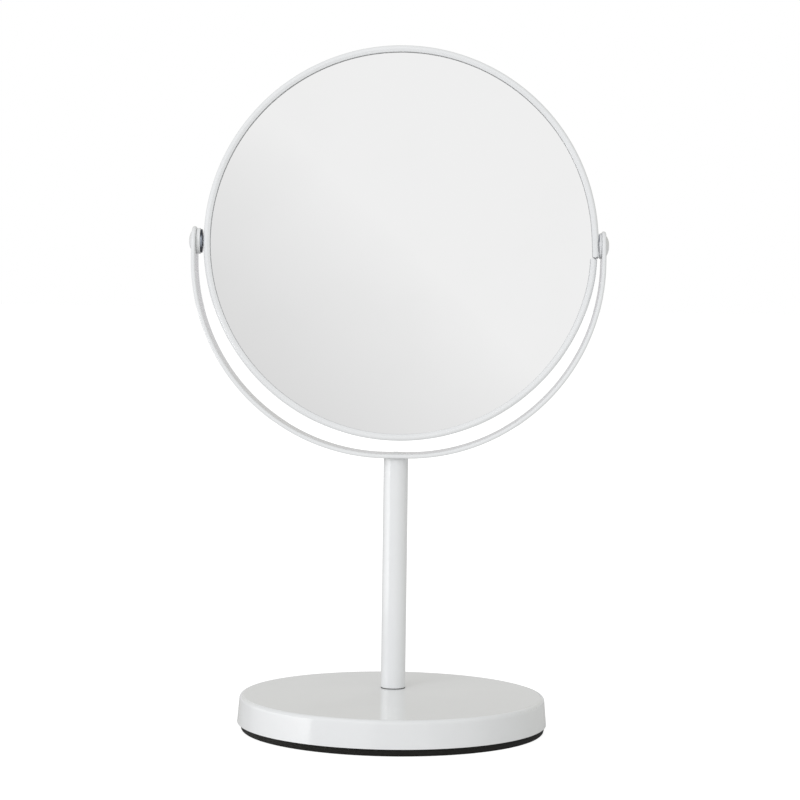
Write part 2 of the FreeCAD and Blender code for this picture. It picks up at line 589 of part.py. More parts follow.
def build_nut_plate(name, frame, below):
    """A plate curved to the inside of the hoop and threaded for a pivot screw."""
    plate = new_body(name, frame)
    outline = new_sketch(plate, "XZ_Plane")
    draw(outline, (
        (f"sqrt({PLATE_OUTER}^2 - {below}^2)", f"-{below}", PLATE_OUTER, LEFT_TURN),
        (f"sqrt({PLATE_OUTER}^2 - plate_reach^2)", "plate_reach"),
        (f"sqrt({PLATE_INNER}^2 - plate_reach^2)", "plate_reach", PLATE_INNER, RIGHT_TURN),
        (f"sqrt({PLATE_INNER}^2 - {below}^2)", f"-{below}"),
    ))
    extrude(plate, outline, f"2 * {PLATE_HALF_WIDTH}")
    cut_hole(plate, "YZ_Plane", THREAD_HOLE)


def build_pivot(side, still_frame, moving_frame):
    """One pivot: a domed shoulder screw, the spacer against the yoke and the washer against the hoop."""
    spacer_start = f"({SPACER_END} - {side}_spacer)"
    washer_end = f"({spacer_start} - face_gap)"
    shoulder = f"({washer_end} - {side}_washer)"
    tip = f"({shoulder} - 2 * face_gap - rim_wall - plate_thickness - pivot_tip)"
    screw = new_body(f"{side}_pivot_screw", moving_frame)
    cap_height = "(dome_height - dome_edge)"
    cap_radius = f"((dome_radius^2 + {cap_height}^2) / (2 * {cap_height}))"
    turn_profile(screw, "XY_Plane", "H_Axis", (
        (tip, "0"), (tip, "pivot_thread_radius - screw_chamfer"),
        (f"{tip} + screw_chamfer", "pivot_thread_radius"), (shoulder, "pivot_thread_radius"),
        (shoulder, "pivot_shoulder_radius"), (DOME_START, "pivot_shoulder_radius"),
        (DOME_START, "dome_radius"), (DOME_SIDE, "dome_radius", cap_radius, RIGHT_TURN), (DOME_END, "0"),
    ))
    socket = new_sketch(screw, "YZ_Plane", DOME_END)
    draw(socket, hexagon("dome_socket"))
    cut_into(screw, socket, "dome_socket_depth", upwards=False)

    spacer = new_body(f"{side}_pivot_spacer", still_frame)
    ring(spacer, "XY_Plane", "H_Axis", SHOULDER_HOLE, "spacer_radius", spacer_start, SPACER_END)
    start_edge = on_circle("spacer_radius", spacer_start, "x")
    end_edge = on_circle("spacer_radius", SPACER_END, "x")
    round_edges(spacer, "spacer_round", lambda edge: start_edge(edge) or end_edge(edge))

    washer = new_body(f"{side}_friction_washer", moving_frame)
    ring(washer, "XY_Plane", "H_Axis", SHOULDER_HOLE, "friction_radius", shoulder, washer_end)


def check_document():
    """Stop if any object failed to build or any piece is not one valid solid."""
    doc.recompute()
    for part in doc.Objects:
        if "Invalid" in part.State or "Error" in part.State:
            raise RuntimeError(f"{part.Name}: {part.State}")
    for body in doc.findObjects("PartDesign::Body"):
        if body.Shape.isNull() or not body.Shape.isValid() or len(body.Shape.Solids) != 1:
            raise RuntimeError(f"{body.Label}: not one valid solid")


def write_pieces():
    """Write each piece to its own file, named by its label."""
    os.makedirs("parts", exist_ok=True)
    for body in doc.findObjects("PartDesign::Body"):
        body.Shape.exportStep(f"parts/{body.Label}.step")
        box = body.Shape.BoundBox
        print(f"{body.Label}: {body.Shape.Volume:.1f} mm3, z {box.ZMin:.2f} to {box.ZMax:.2f}")


build_base()
build_column()
build_yoke()
build_hoop()
build_glasses()
build_nut_plate("right_joint_plate", HEAD, "joint_plate_reach")
build_nut_plate("left_nut_plate", f"{HEAD} * {HALF_TURN}", "plate_reach")
build_pivot("right", AT_PIVOT, LEANING)
build_pivot("left", f"{AT_PIVOT} * {HALF_TURN}", f"{LEANING} * {HALF_TURN}")
check_document()
write_pieces()
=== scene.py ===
"""Looks of a tabletop makeup mirror: its finishes, its soft and rolled pieces, and the studio around it.

All lengths are metres in the model's own frame: +Z up, the flat mirror faces -Y, +X to the
viewer's right.
"""
import json
import logging
import math
from dataclasses import dataclass
from enum import Enum
from typing import Union

import bmesh
import bpy
import numpy as np
from mathutils import Matrix, Vector


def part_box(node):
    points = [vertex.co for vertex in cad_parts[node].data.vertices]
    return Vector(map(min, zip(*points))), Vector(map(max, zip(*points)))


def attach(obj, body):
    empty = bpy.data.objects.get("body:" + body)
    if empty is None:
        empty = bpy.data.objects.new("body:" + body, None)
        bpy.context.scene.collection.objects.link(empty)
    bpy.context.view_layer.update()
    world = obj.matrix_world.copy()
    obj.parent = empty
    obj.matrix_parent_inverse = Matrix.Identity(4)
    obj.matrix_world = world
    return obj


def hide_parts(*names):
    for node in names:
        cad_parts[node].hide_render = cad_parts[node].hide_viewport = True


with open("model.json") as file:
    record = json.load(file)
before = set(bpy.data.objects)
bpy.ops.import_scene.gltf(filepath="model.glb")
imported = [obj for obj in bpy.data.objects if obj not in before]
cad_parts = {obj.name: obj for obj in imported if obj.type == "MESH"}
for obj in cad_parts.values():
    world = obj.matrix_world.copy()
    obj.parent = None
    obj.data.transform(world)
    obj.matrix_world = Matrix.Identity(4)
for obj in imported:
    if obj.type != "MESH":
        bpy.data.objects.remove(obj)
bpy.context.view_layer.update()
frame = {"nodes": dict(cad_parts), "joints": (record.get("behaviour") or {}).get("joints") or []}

MM = 0.001
WHITE = (1.0, 1.0, 1.0)
WELD_DISTANCE = 1e-7
SHARP_ANGLE = math.radians(35)

log = logging.getLogger("makeup_mirror")
Number = Union[int, float]
Colour = tuple[float, float, float]
Point = tuple[float, float, float]


class Body(str, Enum):
    """The two bodies of the model."""

    STAND = "stand"
    HEAD = "mirror_head"


class Slot(str, Enum):
    """The record's material slots that the new pieces use."""

    PAINT = "white_paint"
    FOAM = "pad_foam"
    MIRROR = "silvered_glass"
    WASHER = "black_washer"


class Link:
    """An output socket that takes part in Python arithmetic.

    Numbers go through Math nodes, colours and vectors through Vector Math nodes.
    """

    def __init__(self, graph: "Graph", socket: bpy.types.NodeSocket) -> None:
        """Keep the graph and the socket."""
        self.graph = graph
        self.socket = socket

    def combine(self, operation: str, first: "Operand", second: "Operand") -> "Link":
        """Join two operands in one node.

        Args:
            operation: the node's operation, such as ADD.
            first: the left operand.
            second: the right operand.

        Returns:
            The node's result.
        """
        is_number = self.socket.type == "VALUE"
        kind = "ShaderNodeMath" if is_number else "ShaderNodeVectorMath"
        names = ("Value", "Value_001") if is_number else ("Vector", "Vector_001")
        outputs = self.graph.add(kind, {"operation": operation}, dict(zip(names, (first, second))))
        return outputs["Value" if is_number else "Vector"]

    def __add__(self, other: "Operand") -> "Link":
        """The sum."""
        return self.combine("ADD", self, other)

    def __radd__(self, other: "Operand") -> "Link":
        """The sum, with this socket on the right."""
        return self.combine("ADD", other, self)

    def __sub__(self, other: "Operand") -> "Link":
        """The difference."""
        return self.combine("SUBTRACT", self, other)

    def __rsub__(self, other: "Operand") -> "Link":
        """The difference, with this socket on the right."""
        return self.combine("SUBTRACT", other, self)

    def __mul__(self, other: "Operand") -> "Link":
        """The product."""
        return self.combine("MULTIPLY", self, other)

    def __rmul__(self, other: "Operand") -> "Link":
        """The product, with this socket on the right."""
        return self.combine("MULTIPLY", other, self)

    def maximum(self, other: "Operand") -> "Link":
        """The larger of the two."""
        return self.combine("MAXIMUM", self, other)

    def step(self, low: float, high: float) -> "Link":
        """A smooth step from 0 at low to 1 at high.

        Args:
            low: where the step starts.
            high: where the step ends.

        Returns:
            The stepped number.
        """
        settings = {"interpolation_type": "SMOOTHSTEP"}
        inputs = {"Value": self, "From Min": low, "From Max": high}
        return self.graph.add("ShaderNodeMapRange", settings, inputs)["Result"]


Operand = Union[Link, Number, Colour]


class Graph:
    """A node tree that is written as Python expressions."""

    def __init__(self, tree: bpy.types.NodeTree) -> None:
        """Start with an empty tree."""
        self.tree = tree
        tree.nodes.clear()

    def add(self, kind: str, settings: dict[str, object], inputs: dict[str, Operand]) -> dict[str, Link]:
        """Add one node.

        Args:
            kind: the node's type.
            settings: the node's own settings, which are set first.
            inputs: values or links for its sockets, by socket identifier.

        Returns:
            Its outputs by identifier.
        """
        node = self.tree.nodes.new(kind)
        for name, setting in settings.items():
            setattr(node, name, setting)
        sockets = {socket.identifier: socket for socket in node.inputs}
        for name, given in inputs.items():
            if isinstance(given, Link):
                self.tree.links.new(given.socket, sockets[name])
            else:
                sockets[name].default_value = given
        return {socket.identifier: Link(self, socket) for socket in node.outputs}

    def place(self) -> Link:
        """The point on the piece, in the model's frame."""
        return self.add("ShaderNodeTexCoord", {}, {})["Object"]

    def height(self) -> Link:
        """The height of the point on the piece, in the model's frame."""
        return self.add("ShaderNodeSeparateXYZ", {}, {"Vector": self.place()})["Z"]

    def noise(self, size: float, detail: float, roughness: float = 0.5) -> Link:
        """Soft noise whose features are about one size across.

        Args:
            size: the width of a feature.
            detail: how many finer layers are added.
            roughness: the weight of the finer layers.

        Returns:
            A number around one half.
        """
        inputs = {"Vector": self.place(), "Scale": 1 / size, "Detail": detail, "Roughness": roughness}
        return self.add("ShaderNodeTexNoise", {}, inputs)["Fac"]

    def cells(self, size: float) -> Link:
        """The distance from the middle of the nearest foam cell, 0 there and about 1 at its wall."""
        inputs = {"Vector": self.place(), "Scale": 1 / size}
        return self.add("ShaderNodeTexVoronoi", {}, inputs)["Distance"]

    def mix(self, share: Operand, first: Operand, second: Operand) -> Link:
        """A colour between two colours.

        Args:
            share: 0 for the first colour, 1 for the second.
            first: a colour.
            second: a colour.

        Returns:
            The mixed colour.
        """
        opaque = [given if isinstance(given, Link) else (*given, 1.0) for given in (first, second)]
        inputs = {"Factor_Float": share, "A_Color": opaque[0], "B_Color": opaque[1]}
        return self.add("ShaderNodeMix", {"data_type": "RGBA"}, inputs)["Result_Color"]

    def bump(self, height: Link, depth: float) -> Link:
        """A normal tipped by a height pattern.

        Args:
            height: the pattern, from 0 to 1.
            depth: the height that a step of 1 stands for.

        Returns:
            The normal.
        """
        return self.add("ShaderNodeBump", {}, {"Height": height, "Distance": depth})["Normal"]

    def finish(self, sockets: dict[str, Operand]) -> None:
        """Send a Principled surface with these sockets to the material's output."""
        surface = self.add("ShaderNodeBsdfPrincipled", {}, sockets)["BSDF"]
        self.add("ShaderNodeOutputMaterial", {}, {"Surface": surface})


def new_graph(name: str) -> tuple[bpy.types.Material, Graph]:
    """Make a material.

    Args:
        name: the material's name.

    Returns:
        The material, and its empty graph.
    """
    material = bpy.data.materials.new(name)
    material.use_nodes = True
    return material, Graph(material.node_tree)


@dataclass(frozen=True)
class PowderCoat:
    """Glossy white powder coat with a fine orange peel, as baked paint on sheet metal has."""

    name: str = "powder_coat"
    colour: Colour = (0.86, 0.865, 0.87)
    thin_colour: Colour = (0.835, 0.84, 0.845)
    gloss_low: float = 0.09
    gloss_high: float = 0.17
    peel_size: float = 2.2 * MM
    peel_detail: float = 1.0
    peel_depth: float = 0.003 * MM
    ripple_size: float = 9 * MM
    ripple_weight: float = 2.0
    cloud_size: float = 45 * MM
    cloud_detail: float = 3.0
    cloud_low: float = 0.35
    cloud_high: float = 0.65
    ior: float = 1.5

    def material(self) -> bpy.types.Material:
        """Make the finish: faint clouds in the colour and gloss, orange peel in the normal.

        Returns:
            The material.
        """
        material, graph = new_graph(self.name)
        clouds = graph.noise(self.cloud_size, self.cloud_detail)
        ripple = graph.noise(self.ripple_size, self.peel_detail) * self.ripple_weight
        peel = graph.noise(self.peel_size, self.peel_detail) + ripple
        thin = clouds.step(self.cloud_low, self.cloud_high)
        graph.finish({
            "Base Color": graph.mix(thin, self.colour, self.thin_colour),
            "Roughness": clouds * (self.gloss_high - self.gloss_low) + self.gloss_low,
            "Normal": graph.bump(peel, self.peel_depth),
            "IOR": self.ior,
        })
        return material


@dataclass(frozen=True)
class FoamSkin:
    """Matte black closed-cell foam with cut cells on its surface."""

    name: str = "black_foam"
    colour: Colour = (0.006, 0.0055, 0.004)
    wall_colour: Colour = (0.015, 0.0142, 0.011)
    cell_size: float = 0.7 * MM
    cell_depth: float = 0.12 * MM
    wall_low: float = 0.3
    wall_high: float = 0.75
    smear_size: float = 12 * MM
    smear_detail: float = 2.0
    roughness_low: float = 0.72
    roughness_high: float = 0.95

    def material(self) -> bpy.types.Material:
        """Make the finish: dark cells between paler walls, with smears where the knife passed.

        Returns:
            The material.
        """
        material, graph = new_graph(self.name)
        cells = graph.cells(self.cell_size)
        smear = graph.noise(self.smear_size, self.smear_detail)
        wall = cells.step(self.wall_low, self.wall_high) * smear
        graph.finish({
            "Base Color": graph.mix(wall, self.colour, self.wall_colour),
            "Roughness": smear * (self.roughness_high - self.roughness_low) + self.roughness_low,
            "Normal": graph.bump(cells, self.cell_depth),
        })
        return material


@dataclass(frozen=True)
class Silvering:
    """The bright back of a silvered glass, with the faintest wiping haze."""

    name: str = "silvering"
    colour: Colour = (0.93, 0.93, 0.93)
    worn_colour: Colour = (0.91, 0.911, 0.91)
    haze_size: float = 60 * MM
    haze_detail: float = 4.0
    haze_low: float = 0.4
    haze_high: float = 0.8
    clear_roughness: float = 0.004
    haze_roughness: float = 0.012

    def material(self) -> bpy.types.Material:
        """Make the finish: bright metal whose haze changes slowly over the glass.

        Returns:
            The material.
        """
        material, graph = new_graph(self.name)
        haze = graph.noise(self.haze_size, self.haze_detail).step(self.haze_low, self.haze_high)
        graph.finish({
            "Base Color": graph.mix(haze, self.colour, self.worn_colour),
            "Roughness": haze * (self.haze_roughness - self.clear_roughness) + self.clear_roughness,
            "Metallic": 1.0,
        })
        return material


@dataclass(frozen=True)
class BlackenedSteel:
    """Polished steel with a thin dark oxide and a painted highlight: a bright band in the colour at one
    height, where the front light shines on the rim.
    """

    level: float
    name: str = "blackened_steel"
    colour: Colour = (0.56, 0.6, 0.67)
    oxide_colour: Colour = (0.08, 0.085, 0.1)
    highlight_reach: float = 4.6 * MM
    highlight_low: float = 0.45
    highlight_high: float = 0.95
    patch_size: float = 3 * MM
    patch_detail: float = 3.0
    roughness_low: float = 0.12
    roughness_high: float = 0.24

    def material(self) -> bpy.types.Material:
        """Make the finish: the painted highlight fades by the square of the distance from its height.

        Returns:
            The material.
        """
        material, graph = new_graph(self.name)
        patch = graph.noise(self.patch_size, self.patch_detail)
        away = (graph.height() - self.level) * (1 / self.highlight_reach)
        # Painted highlight: the bright band stands for the front light reflected on the washer's rim, not
        # for rubbed metal.
        painted_highlight = (1.0 - away * away).step(self.highlight_low, self.highlight_high)
        graph.finish({
            "Base Color": graph.mix(painted_highlight, self.oxide_colour, self.colour),
            "Roughness": patch * (self.roughness_high - self.roughness_low) + self.roughness_low,
            "Metallic": 1.0,
        })
        return material


@dataclass(frozen=True)
class PaleSteel:
    """Thin polished steel, much paler than the blackened washer on the left."""

    name: str = "pale_steel"
    colour: Colour = (0.78, 0.79, 0.82)
    dull_colour: Colour = (0.66, 0.67, 0.7)
    patch_size: float = 3 * MM
    patch_detail: float = 3.0
    roughness_low: float = 0.12
    roughness_high: float = 0.24

    def material(self) -> bpy.types.Material:
        """Make the finish: dull and bright patches that run into each other.

        Returns:
            The material.
        """
        material, graph = new_graph(self.name)
        patch = graph.noise(self.patch_size, self.patch_detail)
        graph.finish({
            "Base Color": graph.mix(patch, self.colour, self.dull_colour),
            "Roughness": patch * (self.roughness_high - self.roughness_low) + self.roughness_low,
            "Metallic": 1.0,
        })
        return material


@dataclass(frozen=True)
class PlatedSteel:
    """Zinc-plated steel, spangled and slightly dulled."""

    name: str = "zinc_plate"
    colour: Colour = (0.55, 0.56, 0.57)
    dull_colour: Colour = (0.43, 0.44, 0.46)
    spangle_size: float = 1.4 * MM
    spangle_detail: float = 4.0
    spangle_grit: float = 0.6
    dull_low: float = 0.3
    dull_high: float = 0.7
    roughness_low: float = 0.24
    roughness_high: float = 0.42

    def material(self) -> bpy.types.Material:
        """Make the finish: spangles in the colour and the gloss.

        Returns:
            The material.
        """
        material, graph = new_graph(self.name)
        spangle = graph.noise(self.spangle_size, self.spangle_detail, self.spangle_grit)
        dull = spangle.step(self.dull_low, self.dull_high)
        graph.finish({
            "Base Color": graph.mix(dull, self.colour, self.dull_colour),
            "Roughness": spangle * (self.roughness_high - self.roughness_low) + self.roughness_low,
            "Metallic": 1.0,
        })
        return material


@dataclass(frozen=True)
class SandCasting:
    """Rough grey cast iron as it leaves the sand."""

    name: str = "cast_iron"
    colour: Colour = (0.12, 0.12, 0.125)
    scale_colour: Colour = (0.07, 0.066, 0.062)
    grain_size: float = 0.8 * MM
    grain_detail: float = 4.0
    grain_grit: float = 0.65
    grain_depth: float = 0.15 * MM
    scale_low: float = 0.35
    scale_high: float = 0.65
    roughness: float = 0.8

    def material(self) -> bpy.types.Material:
        """Make the finish: a sandy grain with dark scale in it.

        Returns:
            The material.
        """
        material, graph = new_graph(self.name)
        grain = graph.noise(self.grain_size, self.grain_detail, self.grain_grit)
        scale = grain.step(self.scale_low, self.scale_high)
        graph.finish({
            "Base Color": graph.mix(scale, self.colour, self.scale_colour),
            "Normal": graph.bump(grain, self.grain_depth),
            "Roughness": self.roughness,
        })
        return material


@dataclass(frozen=True)
class GreyCard:
    """Plain grey board with pale and dark fibres."""

    name: str = "grey_card"
    colour: Colour = (0.42, 0.41, 0.39)
    fibre_colour: Colour = (0.3, 0.29, 0.275)
    fibre_size: float = 0.6 * MM
    fibre_detail: float = 5.0
    fibre_grit: float = 0.7
    fibre_depth: float = 0.03 * MM
    dark_low: float = 0.4
    dark_high: float = 0.62
    roughness: float = 0.9

    def material(self) -> bpy.types.Material:
        """Make the finish: short fibres, some of them dark.

        Returns:
            The material.
        """
        material, graph = new_graph(self.name)
        fibre = graph.noise(self.fibre_size, self.fibre_detail, self.fibre_grit)
        dark = fibre.step(self.dark_low, self.dark_high)
        graph.finish({
            "Base Color": graph.mix(dark, self.colour, self.fibre_colour),
            "Normal": graph.bump(fibre, self.fibre_depth),
            "Roughness": self.roughness,
        })
        return material


def grid_faces(rows: int, columns: int) -> np.ndarray:
    """The four-sided faces of a grid of points that is stored row by row.

    The last point of each row joins its first.

    Args:
        rows: how many rows of points.
        columns: how many points in a row.

    Returns:
        One row of four point numbers per face.
    """
    row = np.arange(rows - 1)[:, None] * columns
    here = np.arange(columns)[None, :]
    beside = (here + 1) % columns
    corners = (row + here, row + beside, row + columns + beside, row + columns + here)
    return np.stack(corners, axis=-1).reshape(-1, 4)


def make_piece(name: str, points: np.ndarray) -> bpy.types.Object:
    """Make a smooth piece from a grid of points whose rows are rings.

    Points that fall together, as at a pole or along a folded edge, are welded, so the surface
    closes there.

    Args:
        name: the piece's name.
        points: a grid of points, rows by columns by three.

    Returns:
        The new object, at the origin.
    """
    rows, columns = points.shape[:2]
    faces = grid_faces(rows, columns)
    mesh = bpy.data.meshes.new(name)
    mesh.from_pydata(points.reshape(-1, 3).tolist(), [], faces.tolist())
    welded = bmesh.new()
    welded.from_mesh(mesh)
    bmesh.ops.remove_doubles(welded, verts=welded.verts, dist=WELD_DISTANCE)
    bmesh.ops.recalc_face_normals(welded, faces=welded.faces)
    welded.to_mesh(mesh)
    welded.free()
    mesh.polygons.foreach_set("use_smooth", np.ones(len(mesh.polygons), dtype=bool))
    mesh.set_sharp_from_angle(angle=SHARP_ANGLE)
    piece = bpy.data.objects.new(name, mesh)
    bpy.context.scene.collection.objects.link(piece)
    return piece


def lathe(radii: np.ndarray, levels: np.ndarray, turns: int) -> np.ndarray:
    """Turn an outline about the Z axis.

    A point at radius r, level h and turn t lies at (r cos t, r sin t, h).

    Args:
        radii: the outline's distances from the axis.
        levels: the outline's heights.
        turns: how many places round the axis.

    Returns:
        The points, outline by turns by three.
    """
    turn = np.linspace(0, 2 * np.pi, turns, endpoint=False)[None, :]
    across = radii[:, None] * np.cos(turn)
    along = radii[:, None] * np.sin(turn)
    return np.stack(np.broadcast_arrays(across, along, levels[:, None]), axis=-1)


def half_round(distance: np.ndarray, width: float) -> np.ndarray:
    """The height of a half round at distances from its edge: a quarter circle up to 1 at its width."""
    return np.sqrt(np.clip(1 - np.clip(1 - distance / width, 0, 1) ** 2, 0, 1))


def spring(distance: np.ndarray, reach: float) -> np.ndarray:
    """The square of what is left of a reach: 1 where it starts, and 0 from its end on."""
    return np.clip(1 - distance / reach, 0, 1) ** 2


def both_skins(outer: np.ndarray, inner: np.ndarray) -> np.ndarray:
    """Values round a sheet: along its outer skin, then back along its inner skin between the edges."""
    return np.concatenate((outer, inner[:, -2:0:-1]), axis=1)


def dress(names: tuple[str, ...], material: bpy.types.Material) -> None:
    """Give CAD nodes a finish.

    Args:
        names: the nodes.
        material: what they are finished with.
    """
    for name in names:
        frame["nodes"][name].material_slots[0].material = material
        log.info("%s: %s", name, material.name)


def fit(piece: bpy.types.Object, node: str, body: Body, material: bpy.types.Material) -> None:
    """Put a new piece in a CAD node's place.

    Args:
        piece: the piece.
        node: the node that it stands for.
        body: the body that it moves with.
        material: its finish.
    """
    piece.data.materials.append(material)
    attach(piece, body.value)
    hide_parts(node)
    log.info("%s: made for %s, %s", piece.name, node, material.name)


@dataclass
class HeadFrame:
    """Where the mirror head is at rest: its pivot axis, and how far its top leans back."""

    lean: float = math.radians(3.0)

    def __post_init__(self) -> None:
        """Take the axis from the model's joint, and the middle of the head from the flat glass."""
        low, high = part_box("front_glass")
        self.pivot = np.array(frame["joints"][0]["pos_m"])
        self.pivot[0] = (low.x + high.x) / 2

    def placed(self, points: np.ndarray) -> np.ndarray:
        """Turn points from the head's own axes, across, depth and up, into the model's frame.

        Args:
            points: an array whose last axis is across, depth, up from the middle of the head.

        Returns:
            The same points, leaned back about the pivot axis.
        """
        cosine = math.cos(self.lean)
        sine = math.sin(self.lean)
        turned = np.array([[1, 0, 0], [0, cosine, sine], [0, -sine, cosine]])
        return points @ turned.T + self.pivot


@dataclass
class Stand:
    """The weighted base, its column, and the yoke that carries the head."""

    pad_turns: int = 360
    pad_corner: float = 0.5 * MM
    pad_bulge: float = 0.3 * MM
    pad_waver: float = 0.07 * MM
    pad_waves: tuple[tuple[float, float, float], ...] = ((7, 0.4, 0.5), (17, 1.9, 0.3), (41, 0.0, 0.2))
    pad_shift: float = 0.35 * MM
    pad_fill: float = 0.8
    ring_height: float = 0.11 * MM
    ring_bulge: float = 0.015 * MM
    ring_depth: float = 0.8 * MM
    ring_steps: int = 9
    ring_turns: int = 96
    corner_steps: int = 7
    side_steps: int = 15
    face_steps: int = 12

    def pad_outline(self, radius: float, top: float, dish: float) -> tuple[np.ndarray, np.ndarray]:
        """The pad's outline from the middle of its underside to the middle of its top.

        The side is a straight line with a half sine of bulge where the weight presses it out below
        the dish, and quarter circles round both edges.

        Args:
            radius: the pad's radius.
            top: the pad's thickness.
            dish: the height of the dish's open edge.

        Returns:
            Distances from the axis, and heights.
        """
        inner = radius - self.pad_corner
        flat = np.linspace(0, inner, self.face_steps)
        sweep = np.linspace(0, np.pi / 2, self.corner_steps)
        climb = np.linspace(self.pad_corner, top - self.pad_corner, self.side_steps)
        free = np.clip((climb - climb[0]) / (dish - climb[0]), 0, 1)
        bulge = self.pad_bulge * np.sin(np.pi * free)
        corner_out = inner + self.pad_corner * np.sin(sweep)
        corner_up = self.pad_corner * (1 - np.cos(sweep))
        radii = (flat, corner_out, radius + bulge, corner_out[::-1], flat[::-1])
        levels = (np.zeros_like(flat), corner_up, climb, top - corner_up[::-1], np.full_like(flat, top))
        return np.concatenate(radii), np.concatenate(levels)

    def build_pad(self, foam: bpy.types.Material) -> None:
        """Make the foam pad, which is glued slightly off the middle.

        Its knife-cut side wavers by a sum of sines round the axis.

        Args:
            foam: the pad's finish.
        """
        low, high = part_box("base_pad")
        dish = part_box("base_shell")[0].z
        radius = (high.x - low.x) / 2
        points = lathe(*self.pad_outline(radius, high.z, dish), self.pad_turns)
        turn = np.linspace(0, 2 * np.pi, self.pad_turns, endpoint=False)
        count, phase, weight = np.array(self.pad_waves).T[..., None]
        waver = np.sum(weight * np.sin(count * turn + phase), axis=0)
        share = 1 + waver * self.pad_waver / radius
        points[..., :2] *= share[None, :, None]
        points[..., 0] += self.pad_shift
        pad = make_piece("cut_foam_pad", points)
        fit(pad, "base_pad", Body.STAND, foam)

    def build_foot_shade_ring(self, foam: bpy.types.Material) -> None:
        """Make the thin dark ring at the column's foot. It is painted shade: a dark piece put in for the
        shadow line where the tube meets the base, and its side is a half sine that bulges out.

        Args:
            foam: the ring's finish.
        """
        low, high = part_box("column_tube")
        radius = (high.x - low.x) / 2
        climb = np.linspace(0, 1, self.ring_steps)
        side = radius + self.ring_bulge * np.sin(np.pi * climb)
        inner = np.full(2, radius - self.ring_depth)
        radii = np.concatenate((side, inner, side[:1]))
        levels = low.z + self.ring_height * np.concatenate((climb, climb[[-1, 0]], climb[:1]))
        points = lathe(radii, levels, self.ring_turns)
        points[..., :2] += ((low.x + high.x) / 2, (low.y + high.y) / 2)
        # Painted shade: this dark ring stands for the shadow line in the joint at the column's foot.
        ring = make_piece("column_foot_shade_ring", points)
        ring.data.materials.append(foam)
        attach(ring, Body.STAND.value)
        log.info("%s: added, %s", ring.name, foam.name)

    def dress(self, paint: bpy.types.Material, steel: bpy.types.Material,
              iron: bpy.types.Material) -> None:
        """Finish the dish, column, yoke and inner pieces.

        Args:
            paint: the finish of what shows.
            steel: the finish of the fasteners.
            iron: the finish of the weight.
        """
        dress(("base_shell", "column_tube"), paint)
        dress(("yoke", "yoke_screw", "left_pivot_spacer", "right_pivot_spacer"), paint)
        dress(("base_bolt", "base_spring_washer", "base_flat_washer"), steel)
        dress(("column_foot_insert", "column_head_insert"), steel)
        dress(("ballast_weight",), iron)


